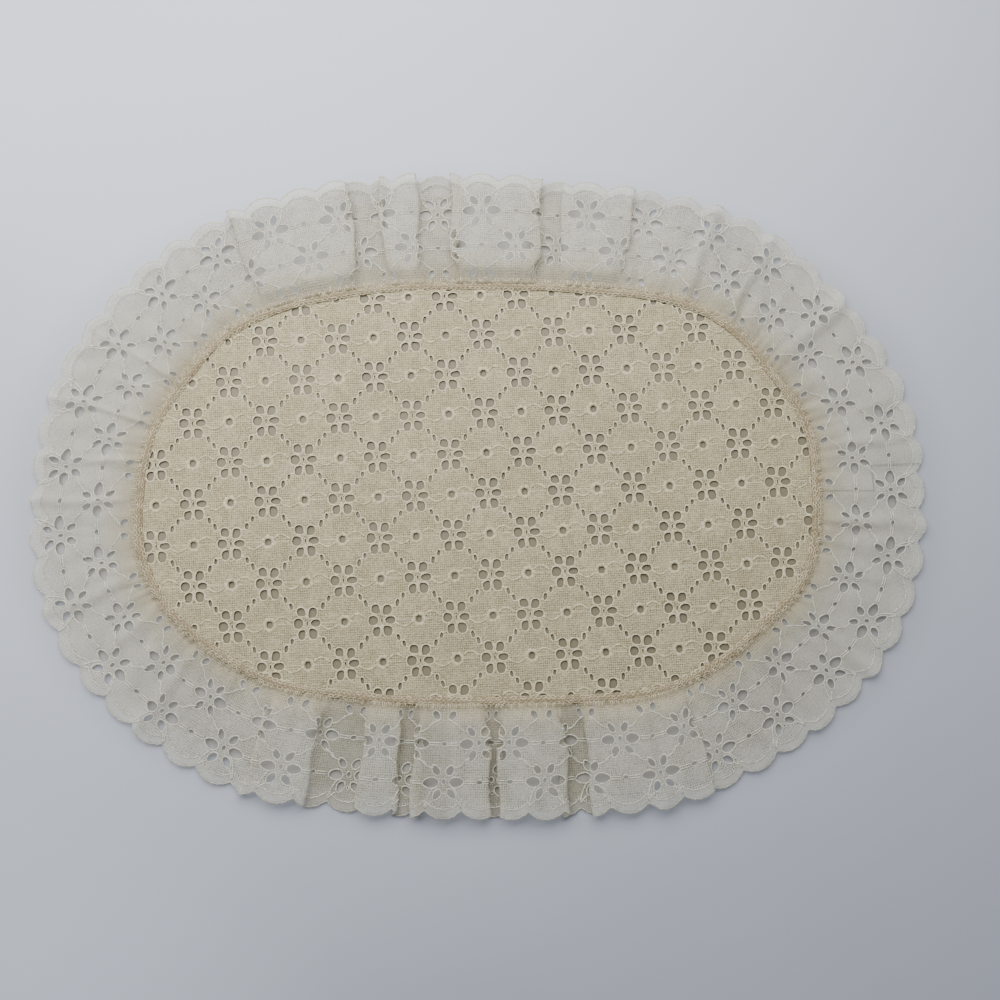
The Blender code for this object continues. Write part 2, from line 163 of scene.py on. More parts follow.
class Fold:
    # a tuck steps to a new height and doubles back; a ridge rises and falls again
    steps = 24

    def __init__(self, place, taken, rise=None, width=None):
        self.place, self.taken, self.width = place, taken, width
        self.isTuck = width is None
        if not self.isTuck:
            self.cloth = width + taken
            self.height = ruffle["ridgeHeight"] * math.sqrt(taken * width)
            return
        bend = ruffle["bend"]
        low, high = math.radians(20), math.radians(210)
        for _ in range(40):
            turn = (low + high) / 2
            up = 2 * bend * (1 - math.cos(turn)) / turn + (1 - 2 * bend) * math.sin(turn)
            used = 1 - 2 * bend * math.sin(turn) / turn - (1 - 2 * bend) * math.cos(turn)
            low, high = (turn, high) if up * taken > used * abs(rise) else (low, turn)
        self.rise = rise
        self.cloth = abs(rise) / up
        middles = (np.arange(self.steps) + 0.5) / self.steps
        angles = turn * np.minimum(1, np.minimum(middles / bend, (1 - middles) / bend))
        step = self.cloth / self.steps
        run = np.append(0, np.cumsum(step * np.cos(angles)))
        climb = np.append(0, np.cumsum(step * np.sin(angles)))
        self.share = np.arange(self.steps + 1) / self.steps
        self.run = run + (self.cloth - taken - run[-1]) * self.share
        self.climb = climb * rise / climb[-1]

    def read(self, cloth):
        into = np.clip((cloth - self.start) / self.cloth, 0, 1)
        if not self.isTuck:
            return self.taken * smooth(into), self.height * np.sin(np.pi * into) ** 2
        return (into * self.cloth - np.interp(into, self.share, self.run),
                np.interp(into, self.share, self.climb))

    def readAtSeam(self, cloth):
        # at the seam the same cloth is gathered evenly over a wider stretch
        if not self.isTuck:
            return self.read(cloth)
        wide = self.cloth + ruffle["seamSmoothing"]
        share = smooth((cloth - self.start - self.cloth / 2) / wide + 0.5)
        return self.taken * share, self.rise * share


folds, level, used = [], ruffle["endHeight"], 0.0
for place, taken, height in ruffle["tucks"]:
    folds.append(Fold(place, taken, rise=height - level))
    level = height
folds += [Fold(place, taken, width=width) for place, taken, width in ruffle["ridges"]]
folds.sort(key=lambda fold: fold.place)
for fold in folds:
    middle = float(np.interp(fold.place, ovalAlong, ovalLaid)) + used + fold.taken / 2
    fold.start = middle - fold.cloth / 2
    used += fold.taken
stripLength = laidLength + used
repeat = stripLength / ruffle["repeats"]


def unevenness(u, v, along):
    # what the sewn hand leaves in the cloth: creases, fine gathers, slow waves
    total = np.zeros_like(u)
    for place, lean, width, height, start, end in ruffle["creases"]:
        away = (along - place - lean * (v - 20) + seamLength / 2) % seamLength - seamLength / 2
        share = smooth((v - start) / 6 + 0.3) * smooth((end - v) / 8 + 0.3)
        total += height * share * np.exp(-(away / width) ** 2)
    phase = u / stripLength * 2 * np.pi
    fine, broad = ruffle["gathers"], ruffle["swells"]
    gather = np.sin(fine["count"] * phase + 2.2 * np.sin(9 * phase)
                    + 1.4 * np.sin(31 * phase + 1))
    deep = 0.55 + 0.45 * np.sin(23 * phase + 2 * np.sin(5 * phase))
    total += fine["height"] * gather * deep * np.exp(-np.maximum(v - 1, 0) / fine["reach"])
    swell = np.sin(broad["count"] * phase + 3 * np.sin(4 * phase + 0.5))
    total += broad["height"] * swell * np.exp(-((v - broad["middle"]) / broad["reach"]) ** 2)
    for count, height, lean, full, drift, slow in ruffle["waves"]:
        wave = np.sin(count * phase + v / lean + drift * np.sin(slow * phase))
        total += height * wave * smooth(v / full)
    return total


def stripPoint(u, v):
    # where a point of the flat strip lies: u along it, v out from the seam
    lapped = smooth((v - ruffle["lapStart"]) / ruffle["lapGrowth"])
    laid, height, lyingAt = u.copy(), np.full_like(u, ruffle["endHeight"]), u.copy()
    sway = ruffle["sway"]
    for fold in folds:
        wander = sway["amount"] * np.sin(v / sway["length"] + fold.place) * lapped
        takenHere, climb = fold.read(u + wander)
        takenAtSeam, climbAtSeam = fold.readAtSeam(u)
        laid -= takenAtSeam + (takenHere - takenAtSeam) * lapped
        height += climbAtSeam + (climb - climbAtSeam) * lapped
        lyingAt -= takenHere
    along = fromLaid(laid)
    rising = smooth((v - ruffle["liftFrom"]) / ruffle["liftGrowth"])
    share = ruffle["foldStart"] + (1 - ruffle["foldStart"]) * rising
    z = ruffle["floor"] + (height - ruffle["floor"]) * share
    bumps = unevenness(u, v, fromLaid(lyingAt))
    x, y = seamPoint(along, v)
    return np.stack([x, y, np.maximum(z + bumps, 0.3 + 0.1 * bumps)], axis=1)


def lyingAlong(u):
    # the place along the seam over which this cloth lies
    laid = u.copy()
    for fold in folds:
        laid -= fold.read(u)[0]
    return fromLaid(laid) % seamLength


def recessShadeAt(u):
    # share of painted shade: 1 where the cloth lies low between two raised folds, less at the top,
    # and some where it lies double
    height = np.full_like(u, ruffle["endHeight"])
    for fold in folds:
        height += fold.read(u)[1]
    top = ruffle["recessTop"]
    near = np.interp(u, [0, stripLength * 0.5, stripLength * 0.62], [top, top, 1.0])
    recessShade = smooth((ruffle["recessLevel"] - height) / ruffle["recessSoft"]) * near
    for place, reach, share in ruffle["doubled"]:
        recessShade = np.maximum(recessShade, share * np.exp(-((lyingAlong(u) - place) / reach) ** 6))
    return recessShade


def scallopAt(u):
    # 0 at the middle of each scallop, 1 in the notch between two
    place = ((u - ruffle["firstFlower"]) / (repeat / 2) + 0.5) % 1 - 0.5
    return np.abs(2 * place)


def rimAt(u):
    fray = ruffle["fray"]["depth"] * np.sin(u * 2 * np.pi * ruffle["fray"]["count"] / stripLength)
    notch = scallopAt(u) ** ruffle["scallopPower"] + fray
    return ruffle["depth"] + strayAt(lyingAlong(u), ruffle["rimStrays"]) \
        - ruffle["scallopDepth"] * notch


def ruffleSurface(chart, lift):
    # the point this far above the cloth's middle
    u, v = chart[:, 0], chart[:, 1]
    near = 0.06                 # step for the slopes
    middle = stripPoint(u, v)
    alongU = stripPoint(u + near, v) - stripPoint(u - near, v)
    alongV = stripPoint(u, v + near) - stripPoint(u, v - near)
    normal = np.cross(alongV, alongU)
    normal /= np.linalg.norm(normal, axis=1)[:, None] + 1e-9
    return middle + normal * lift[:, None]


def panelSurface(chart, lift):
    # slow waves in the laid cloth
    x, y = chart[:, 0], chart[:, 1]
    z = 0.44 + 0.10 * np.sin(x / 31 + y / 47) + 0.08 * np.sin(x / 17 - y / 23 + 1) \
        + 0.06 * np.sin(x / 9.3 + 2 * np.sin(y / 29)) + 0.05 * np.sin(y / 7.1 + x / 40)
    return np.stack([x, y, z + lift], axis=1)


# turning charts into meshes

def addToScene(name, data, place=(0, 0, 0)):
    thing = bpy.data.objects.new(name, data)
    bpy.context.scene.collection.objects.link(thing)
    thing.location = place
    return thing


def addObject(name, points, faces, flats=(), attributes=(), uv=None):
    mesh = bpy.data.meshes.new(name)
    mesh.from_pydata((points * mm).tolist(), [], [list(face) for face in faces])
    mesh.update()
    smoothFaces = np.ones(len(mesh.polygons), dtype=bool)
    if len(flats):
        smoothFaces[flats] = False
    mesh.polygons.foreach_set("use_smooth", smoothFaces)
    for label, values in attributes:
        layer = mesh.attributes.new(label, "FLOAT", "POINT")
        layer.data.foreach_set("value", np.asarray(values, dtype=np.float32))
    if uv is not None:
        layer = mesh.uv_layers.new(name="cloth")
        corners = np.empty(len(mesh.loops), dtype=np.int32)
        mesh.loops.foreach_get("vertex_index", corners)
        layer.data.foreach_set("uv", (uv[corners] / 10).astype(np.float32).ravel())
    return addToScene(name, mesh)


def clothChart(outline, holes, grid):
    # flat triangles inside the outline and outside every hole
    points = [Vector(p) for p in outline] + [Vector(p) for hole in holes for p in hole]
    loops, at = [list(range(len(outline)))], len(outline)
    for hole in holes:
        loops.append(list(range(at, at + len(hole))))
        at += len(hole)
    points += [Vector(p) for p in grid]
    found = delaunay_2d_cdt(points, [], loops, 1, 1e-4)
    kept = [face for face, source in zip(found[2], found[5]) if source == [0]]
    usedPoints = sorted({i for face in kept for i in face})
    renumber = {old: new for new, old in enumerate(usedPoints)}
    chart = np.array([found[0][i][:] for i in usedPoints])
    return chart, np.array([[renumber[i] for i in face] for face in kept])


def clearOfHoles(grid, holes, margin):
    keep = np.ones(len(grid), dtype=bool)
    for hole in holes:
        hole = np.array(hole)
        centre = hole.mean(axis=0)
        reach = np.abs(hole - centre).max(axis=0) + margin
        near = np.flatnonzero((np.abs(grid - centre) < reach).all(axis=1))
        if len(near):
            away = np.linalg.norm(grid[near][:, None] - hole[None], axis=2).min(axis=1)
            keep[near[away < margin]] = False
    return grid[keep]


def thicken(name, chart, faces, surface, thickness, attributes=(), target=None):
    # a closed sheet: face side, back, and flat walls round every edge
    half = np.full(len(chart), thickness / 2)
    top, under = surface(chart, half), surface(chart, -half)
    if target is not None:      # the strip's end is joined to its start
        faces = target[faces]
        faces = faces[(faces[:, 0] != faces[:, 1]) & (faces[:, 1] != faces[:, 2])
                      & (faces[:, 0] != faces[:, 2])]
    a, b, c = faces.T
    upward = np.cross(top[b] - top[a], top[c] - top[a])
    if (np.einsum("ij,ij->i", upward, top[a] - under[a]) > 0).mean() < 0.5:
        faces = faces[:, ::-1]
    count = len(chart)
    edges = np.concatenate([faces[:, [0, 1]], faces[:, [1, 2]], faces[:, [2, 0]]])
    key = np.sort(edges, axis=1)
    _, first, times = np.unique(key[:, 0] * count + key[:, 1], return_index=True,
                                return_counts=True)
    rim = edges[first[times == 1]]
    walls = np.stack([rim[:, 1], rim[:, 0], rim[:, 0] + count, rim[:, 1] + count], axis=1)
    everything = faces.tolist() + (faces[:, ::-1] + count).tolist() + walls.tolist()
    kept = np.unique(faces)
    kept = np.concatenate([kept, kept + count])
    lookup = np.full(2 * count, -1)
    lookup[kept] = np.arange(len(kept))
    everything = [lookup[list(face)] for face in everything]
    doubled = [(label, np.concatenate([values, values])[kept]) for label, values in attributes]
    flats = list(range(2 * len(faces), len(everything)))
    return addObject(name, np.concatenate([top, under])[kept], everything, flats, doubled,
                     np.concatenate([chart, chart])[kept])


thread = dict(
    sink=0.12,                  # how far a thread lies sunk in its cloth
    unevenness=0.22,            # of its width
    shading=0.45,               # of its shade, from point to point
    shapes={                    # places across the thread, and which are raised
        3: ((-0.5, 0.0, 0.5), (0, 1, 0)),
        4: ((-0.5, -0.26, 0.26, 0.5), (0, 1, 1, 0)),
    },
)


def tubeFaces(stations, sides, closed, start=0):
    # the sides' points lie one side after another
    faces = []
    for i in range(stations if closed else stations - 1):
        j = (i + 1) % stations
        for k in range(sides):
            here, there = start + k * stations, start + (k + 1) % sides * stations
            faces.append((here + i, here + j, there + j, there + i))
    return faces


class Stitching:
    # raised threads that follow a chart; one closed tube for each line

    def __init__(self):
        self.chart, self.lift, self.faces, self.shade, self.count = [], [], [], [], 0

    def line(self, path, look, closed=False, sides=4):
        path = np.asarray(path, dtype=float)
        if closed:
            ahead, behind = np.roll(path, -1, axis=0), np.roll(path, 1, axis=0)
        else:
            ahead = np.concatenate([path[1:], path[-1:]])
            behind = np.concatenate([path[:1], path[:-1]])
        heading = ahead - behind
        heading /= np.linalg.norm(heading, axis=1)[:, None] + 1e-9
        left = paired(-heading[:, 1], heading[:, 0])
        n, start = len(path), self.count
        uneven = rng.uniform(-1, 1, n)
        width = look["width"] * (1 + thread["unevenness"] * uneven)
        for offset, up in zip(*thread["shapes"][sides]):
            self.chart.append(path + left * (offset * width)[:, None])
            self.lift.append(np.full(n, up * (look["height"] + thread["sink"]) - thread["sink"]))
        self.shade.append(np.tile(look["shade"] + thread["shading"] * uneven, sides))
        self.faces += tubeFaces(n, sides, closed, start)
        if not closed:
            self.faces.append([start + k * n for k in range(sides)])
            self.faces.append([start + k * n + n - 1 for k in range(sides)][::-1])
        self.count += n * sides

    def build(self, name, surface, thickness):
        chart, lift = np.concatenate(self.chart), np.concatenate(self.lift)
        points = surface(chart, lift + thickness / 2)
        shades = [("shade", np.concatenate(self.shade))]
        thing = addObject(name, points, self.faces, attributes=shades, uv=chart)
        bpy.context.view_layer.objects.active = thing
        bpy.ops.object.mode_set(mode="EDIT")
        bpy.ops.mesh.select_all(action="SELECT")
        bpy.ops.mesh.normals_make_consistent(inside=False)
        bpy.ops.mesh.select_all(action="DESELECT")
        bpy.ops.object.mode_set(mode="OBJECT")
        return thing


def resample(points, gap, closed=False):
    points = np.asarray(points, dtype=float)
    if closed:
        points = np.concatenate([points, points[:1]])
    length = np.append(0, np.cumsum(np.linalg.norm(np.diff(points, axis=0), axis=1)))
    count = max(int(round(length[-1] / gap)), 2)
    places = np.linspace(0, length[-1], count + 1)
    if closed:
        places = places[:-1]
    return np.stack([np.interp(places, length, points[:, i]) for i in (0, 1)], axis=1)


def rounded(points):
    # corners cut twice, so that a few charted points make a curve
    for _ in range(2):
        before, after = points[:-1], points[1:]
        cut = np.stack([before * 0.75 + after * 0.25, before * 0.25 + after * 0.75], axis=1)
        points = np.concatenate([points[:1], cut.reshape(-1, 2), points[-1:]])
    return points


def grown(loop, amount):
    loop = np.asarray(loop)
    ahead = np.roll(loop, -1, axis=0) - np.roll(loop, 1, axis=0)
    ahead /= np.linalg.norm(ahead, axis=1)[:, None] + 1e-9
    return loop + paired(ahead[:, 1], -ahead[:, 0]) * amount


def turned(points, angle, shift=(0, 0)):
    points = np.atleast_2d(np.asarray(points, dtype=float))
    c, s = math.cos(angle), math.sin(angle)
    return points @ np.array([[c, s], [-s, c]]) + np.asarray(shift)


def eyelet(width, height, corner, reach, corners, squareness):
    # a round hole, drawn out to a soft point towards one side
    t = roundTurn(corners)
    c, s = np.cos(t), np.sin(t)
    x = width / 2 * np.sign(c) * np.abs(c) ** (2 / squareness)
    y = height / 2 * np.sign(s) * np.abs(s) ** (2 / squareness)
    away = (t - math.radians(corner) + np.pi) % (2 * np.pi) - np.pi
    drawnOut = 1 + reach * np.exp(-(away / 0.5) ** 2)
    return paired(x, y) * drawnOut[:, None]


def rimRound(loop, rim):
    # the line of a stitched rim, just outside the hole
    return resample(grown(loop, rim["width"] * rim.get("out", 0.48)), rim["gap"], True)


# the panel: flat cloth with groups of eyelets on a turned diamond lattice

panel = dict(
    flat=(0.345, 0.214), area=0.0618,
    outerEdge=-1.0,             # tucked under the seam's thread
    thickness=0.26,
    gridGap=1.75,
    groupPitch=37.5, rowPitch=20.85,
    turn=math.radians(2.08), shift=(-17.27, 16.88), reach=7,
    eyelets=[                   # across, up, width, height, soft corner, its reach
        (-3.08, 5.83, 4, 4.3, -42, 0.34), (2.96, 5.29, 4.1, 4.7, 228, 0.34),
        (-4.46, 0, 4.3, 4.9, 0, 0.20), (4.5, 0, 4.5, 3.5, 180, 0.28),
        (-2.8, -5.83, 3.6, 4.7, 50, 0.32), (3.04, -5.5, 4.1, 5.1, 135, 0.30),
        (0, 0, 0.8, 2.4, 90, 0), (18.75, 0, 3, 3.5, 90, 0),
    ],
    dashes=[                    # across, up, width, height, lean
        (8.1, 8.5, 1.8, 3.7, -8), (11.1, 12.1, 1.6, 3, -6), (-7.83, 8.75, 1.6, 3.5, 14),
        (-10.6, 12.1, 1.6, 3.5, 14),
    ],
    lines=[                     # width, height, then paths of points from the group's centre
        (0.75, 0.24, [
            [(4.9, 7.4), (6, 6.6), (6.9, 6.8), (7.1, 7.6)],
            [(8.6, 10.2), (9.2, 10.8), (10.2, 10.8), (10.7, 10.6)],
            [(11.4, 13.3), (12.1, 13.8), (13.3, 13.5), (14.4, 14.2)],
            [(-5, 7.4), (-6, 7), (-7, 7)], [(-8.6, 10.2), (-9.3, 10.6), (-9.9, 10.5)],
            [(-11.2, 13.5), (-12.4, 13.9), (-13.8, 14.6)],
        ]),
        (1.1, 0.28, [[(6.9, -1.2), (8.5, -2.4), (10.6, -3.5), (13, -3), (15.2, -1.4)]]),
        (0.5, 0.14, [[(7, 0), (15.4, 0.1)]]),
        (1.1, 0.28, [[(30.1, 1.2), (28.2, 2.3), (27.1, 3.4), (25, 3.8), (23.1, 3.2), (21.7, 1.6)]]),
        (0.5, 0.14, [[(22, 0), (30.2, 0)]]),
        (1.2, 0.24, [[(-0.1, 1.8), (-0.1, 7.4)], [(0.1, -1.8), (0.1, -7.6)]]),
    ],
    rim=dict(width=0.85, height=0.15, gap=0.85, shade=0.85),
    smallRim=dict(width=0.5, height=0.13, gap=0.85, shade=0.85),
    dashRim=dict(width=0.8, height=0.13, gap=0.88, shade=0.85),
    halo=dict(radius=2.75, width=1.9, lobes=7, swing=0.16, height=0.12, shade=0.55, points=35),
    lineGap=0.9, lineShade=0.9, broadShade=0.55, strayThread=0.05,
    groupMargin=22,             # groups this far outside the seam are left out
    seamCover=-0.9,             # holes and threads end here, under the seam
    seamPoints=900, holeMargin=0.75, edgeMargin=0.8,
)

outlineAlong = np.linspace(0, seamLength, panel["seamPoints"], endpoint=False)


def polar(points):
    x, y = (points - oval["centre"]).T
    return np.arctan2(y, x), np.hypot(x, y)


def insideSeam(points, out):
    # how far each point lies inside the line this far from the seam
    ring = paired(*seamPoint(outlineAlong, np.full(len(outlineAlong), out)))
    angle, reach = polar(points)
    return np.interp(angle, *polar(ring), period=2 * np.pi) - reach


def underSeam(points):
    return insideSeam(points, panel["seamCover"]) <= 0


def drawClipped(work, path, look, closed=False):
    # only the part of a thread that lies inside the seam
    inside = ~underSeam(path)
    if inside.all():
        work.line(path, look, closed)
        return
    if closed and inside.any():
        first = int(np.argmax(~inside))
        path, inside = np.roll(path, -first, axis=0), np.roll(inside, -first)
    run = []
    for point, kept in zip(path, list(inside[:-1]) + [False]):
        if kept:
            run.append(point)
        elif run:
            if len(run) > 2:
                work.line(run, look)
            run = []


def sewHalo(work, spot, centre):
    # a lobed satin ring; False where the seam would cut it
    halo = panel["halo"]
    t = roundTurn(halo["points"])
    lobes = np.cos(halo["lobes"] * t + rng.uniform(0, 6)) * halo["swing"]
    ring = paired(np.cos(t), np.sin(t)) * (halo["radius"] + lobes)[:, None]
    ring = turned(ring + spot, panel["turn"], centre)
    if underSeam(ring).any():
        return False
    work.line(ring, halo | dict(width=halo["width"] + 2 * lobes), True)
    return True


def placeHole(loop, lean, spot, centre, holes):
    loop = turned(loop, math.radians(lean + rng.uniform(-4, 4)), spot)
    loop = turned(loop, panel["turn"], centre)
    if underSeam(loop).all():
        return None
    holes.append(loop)
    return loop


def sewGroup(centre, holes, work):
    for across, up, width, height, corner, reach in panel["eyelets"]:
        small = width < 1
        size = rng.uniform(0.95, 1.05, 2)
        loop = eyelet(width * size[0], height * size[1], corner, reach,
                      8 if small else 14, 2.0 if small else 2.5)
        loop = placeHole(loop, 0, (across, up), centre, holes)
        if loop is None:
            continue
        if abs(across) > 10 and sewHalo(work, (across, up), centre):
            continue
        rim = panel["smallRim" if small else "rim"]
        drawClipped(work, rimRound(loop, rim), rim, True)
    for across, up, width, height, lean in panel["dashes"]:
        loop = eyelet(width, height * rng.uniform(0.9, 1.08), 0, 0, 10, 2.6)
        loop = placeHole(loop, lean, (across, up), centre, holes)
        if loop is not None:
            drawClipped(work, rimRound(loop, panel["dashRim"]), panel["dashRim"], True)
    for width, height, paths in panel["lines"]:
        shade = panel["lineShade"] if width < 1 else panel["broadShade"]
        look = dict(width=width, height=height, shade=shade)
        for points in paths:
            path = resample(rounded(turned(points, panel["turn"], centre)), panel["lineGap"])
            path = path + rng.normal(0, panel["strayThread"], path.shape)
            if not underSeam(path).all():
                drawClipped(work, path, look)


def buildPanel():
    holes, work = [], Stitching()
    steps = range(-panel["reach"], panel["reach"] + 1)
    for row in steps:
        for column in steps:
            centre = turned(((column + 0.5 * (row % 2)) * panel["groupPitch"],
                             row * panel["rowPitch"]), panel["turn"], panel["shift"])[0]
            if insideSeam(centre[None], 0)[0] >= -panel["groupMargin"]:
                sewGroup(centre, holes, work)
    x, y = seamPoint(outlineAlong, np.full(len(outlineAlong), panel["outerEdge"]))
    gap = panel["gridGap"]
    rowGap = gap * 0.87
    columns, rows = np.meshgrid(np.arange(-180, 180, gap), np.arange(-115, 115, rowGap))
    columns = columns + (np.round(rows / rowGap) % 2) * gap / 2
    grid = turned(paired(columns.ravel(), rows.ravel()), panel["turn"])
    grid = grid[insideSeam(grid, panel["outerEdge"]) > panel["edgeMargin"]]
    grid = clearOfHoles(grid, holes, panel["holeMargin"])
    chart, faces = clothChart(paired(x, y).tolist(), holes, grid)
    cloth = thicken("panelCloth", chart, faces, panelSurface, panel["thickness"])
    return cloth, work.build("panelStitching", panelSurface, panel["thickness"])


# the ruffle's needlework, charted for one repeat about a flower of the outer row

needlework = dict(
    petals=[                    # along, out, length, width, turned, pointedness
        (-6.45, 0.65, 7.25, 4.6, 0, 0.10), (6.6, 0.35, 7.4, 4.75, 180, 0.10),
        (-3.35, 6.35, 5.6, 3.2, -62, 0.10), (4, 5.95, 5.8, 3.3, 225, 0.10),
        (-3.9, -5.45, 5.2, 3.1, 55, 0.10), (3.25, -5.4, 5.4, 3.5, 125, 0.10),
        (0, 0, 2, 2.7, 0, 0), (0.3, 6.4, 0.8, 1.6, 0, 0), (18.1, 0.5, 3, 2, 0, 0),
    ],
    slits=[                     # along, out of the seam, length, width, turned
        (9.6, 29.6, 2.4, 0.9, -52), (-9.6, 29.6, 2.4, 0.9, 52), (-4.3, 6.6, 4.6, 3.3, 40),
        (4.3, 6.6, 4.6, 3.3, -40),
    ],
    lines=[                     # width, height, then paths of points: along, out of the seam
        (0.65, 0.24, [
            [(6.4, 46.8), (7.6, 48.4), (8.8, 51)], [(-5.4, 47.6), (-7.2, 49), (-8.8, 51)],
            [(5, 41), (7, 44), (8.2, 47), (9, 50.6)],
            [(-5, 41), (-7, 44.4), (-8.2, 47.4), (-9, 50.6)],
        ]),
        (0.65, 0.22, [
            [(5.2, 31.6), (8, 31.4), (10.6, 28.6), (13.6, 27)],
            [(-5.2, 31.6), (-8, 31.4), (-10.6, 28.6), (-13.6, 27)],
        ]),
        (0.55, 0.18, [
            [(10.8, 38.1), (16.2, 38.3)], [(20, 38.3), (25.2, 38.1)],
            [(10.8, 39.3), (16.2, 39.5)], [(20, 39.5), (25.2, 39.3)],
            [(-7.4, 19.5), (-1.8, 19.7)], [(1.8, 19.7), (7.4, 19.5)],
            [(-7.4, 20.7), (-1.8, 20.9)], [(1.8, 20.9), (7.4, 20.7)],
        ]),
        (0.6, 0.2, [
            [(2.2, 8.4), (6.6, 10.4), (9.6, 13.6), (13.2, 14.6)],
            [(-2.2, 8.4), (-6.6, 10.4), (-9.6, 13.6), (-13.2, 14.6)],
        ]),
    ],
    arc=dict(inset=5.0, rise=4.2, power=2.2, width=0.6, height=0.15, shade=0.7),
    ticks=dict(length=1.5, gap=1.25, width=0.45, height=0.14, shade=0.6),
    hem=dict(inset=0.45, width=0.55, height=0.02, shade=0.4),
    rim=dict(width=0.65, height=0.15, gap=0.8, shade=0.8),
    slitRim=dict(width=0.48, height=0.18, gap=0.8, shade=0.5, out=0.5),
    lineGap=0.8, edgeGap=0.9, lineShade=0.85, strayThread=0.05,
)


def petal(length, width, pointed, corners):
    t = roundTurn(corners)
    x, y = np.cos(t) * length / 2, np.sin(t) * width / 2
    return paired(x, y * (1 + pointed * np.cos(t) * 2) * (1 - 0.10 * np.cos(t) ** 4))


def innerArc(u):
    # the stitched arc inside each scallop
    arc, across = needlework["arc"], scallopAt(u)
    notch = across ** ruffle["scallopPower"]
    valley = rimAt(u) + ruffle["scallopDepth"] * (notch - 1) - arc["inset"]
    return valley + arc["rise"] * (1 - across ** arc["power"])


def clothColumns():
    # evenly spaced, and closer where the cloth doubles back
    spots, u = [], 0.0
    while u < stripLength:
        spots.append(u)
        nearTuck = any(fold.isTuck and -1 < u - fold.start < fold.cloth + 1 for fold in folds)
        u += ruffle["tuckGap"] if nearTuck else ruffle["columnGap"]
    return np.array(spots)


def sewFlower(u, v, holes, work):
    rim = needlework["rim"]
    for along, out, length, width, angle, pointed in needlework["petals"]:
        small = width < 2.8
        size = rng.uniform(0.93, 1.05, 2)
        loop = petal(length * size[0], width * size[1], pointed, 10 if small else 14)
        loop = turned(loop, math.radians(angle + rng.uniform(-5, 5)), (u + along, v + out))
        holes.append(loop)
        ownRim = rim | dict(width=rim["width"] * (0.8 if small else 1))
        work.line(rimRound(loop, ownRim), ownRim, True)


def sewRepeat(u, holes, work):
    slitRim = needlework["slitRim"]
    sewFlower(u, ruffle["outerRow"], holes, work)
    sewFlower(u + repeat / 2, ruffle["innerRow"], holes, work)
    for along, out, length, width, angle in needlework["slits"]:
        loop = turned(petal(length, width, 0, 10), math.radians(angle + rng.uniform(-8, 8)),
                      (u + along, out))
        holes.append(loop)
        work.line(rimRound(loop, slitRim), slitRim, True)
    for width, height, paths in needlework["lines"]:
        look = dict(width=width, height=height, shade=needlework["lineShade"])
        for points in paths:
            path = resample(rounded(np.array(points) + (u, 0)), needlework["lineGap"])
            work.line(path + rng.normal(0, needlework["strayThread"], path.shape), look)


def sewEdge(work):
    # the arc with its short stitches inside each scallop, and the bound edge
    arc, ticks, hem = needlework["arc"], needlework["ticks"], needlework["hem"]
    around = np.arange(0, stripLength, needlework["edgeGap"])
    work.line(paired(around, innerArc(around)), arc)
    work.line(paired(around, rimAt(around) - hem["inset"]), hem)
    for u in np.arange(0.5, stripLength, ticks["gap"]):
        start = float(innerArc(np.array([u]))[0])
        length = ticks["length"] * rng.uniform(0.6, 1.2)
        end = (u + rng.uniform(-0.2, 0.2), start - length)
        work.line([(u, start), end], ticks, sides=3)


def leftCut(v):
    # the strip's ends meet in a stepped cut that runs between the holes
    cut = ruffle["cut"]
    return np.where(v < cut["step"], cut["low"], cut["high"])


def cutLine():
    low, high, step = (ruffle["cut"][key] for key in ("low", "high", "step"))
    top = float(rimAt(np.array([high]))[0])
    line = [(low, v) for v in np.linspace(ruffle["innerEdge"], step, 18)]
    line += [(low + (high - low) * i / 8, step) for i in range(1, 8)]
    return line + [(high, v) for v in np.linspace(step, top, 18)]


def movedIntoStrip(hole):
    # a hole past either cut end goes to the other end
    left = float(leftCut(hole[:, 1].mean()))
    if hole[:, 0].min() <= left:
        hole = hole + (stripLength, 0)
    if hole[:, 0].max() > left + stripLength:
        hole = hole - (stripLength, 0)
    return hole


def stripGrid(columns):
    rows = np.arange(ruffle["innerEdge"] + ruffle["rowGap"], 60, ruffle["rowGap"])
    gridU, gridV = np.meshgrid(columns, rows)
    gridU = gridU + (np.arange(len(rows)) % 2)[:, None] * 0.4
    grid = paired(gridU.ravel(), gridV.ravel())
    cut, left = ruffle["cut"], leftCut(grid[:, 1])
    grid[grid[:, 0] < left + cut["margin"], 0] += stripLength
    u, v = grid.T
    keep = (u < left + stripLength - cut["margin"]) & (v < rimAt(u) - 0.8)
    atStep = (np.abs(v - cut["step"]) <= 0.5) & (np.abs(u - cut["low"] - stripLength - 7) <= 8)
    return grid[keep & ~atStep]


def stripOutline(columns, side):
    low, high = ruffle["cut"]["low"], ruffle["cut"]["high"]
    bottom = columns[columns < low + stripLength - 0.5]
    top = np.linspace(high, high + stripLength, int(stripLength) + 1)
    outline = [(u, ruffle["innerEdge"]) for u in bottom]
    outline += [(u + stripLength, v) for u, v in side[:-1]]
    outline += list(zip(top[::-1], rimAt(top)[::-1]))
    return outline + side[1:-1][::-1]


def joinedEnds(chart, side):
    # each point of the cut's far end is its near end's point
    places = {(round(u, 2), round(v, 2)): i for i, (u, v) in enumerate(chart)}
    target = np.arange(len(chart))
    for u, v in side:
        right = places.get((round(u + stripLength, 2), round(v, 2)))
        left = places.get((round(u, 2), round(v, 2)))
        if right is not None and left is not None:
            target[right] = left
    return target


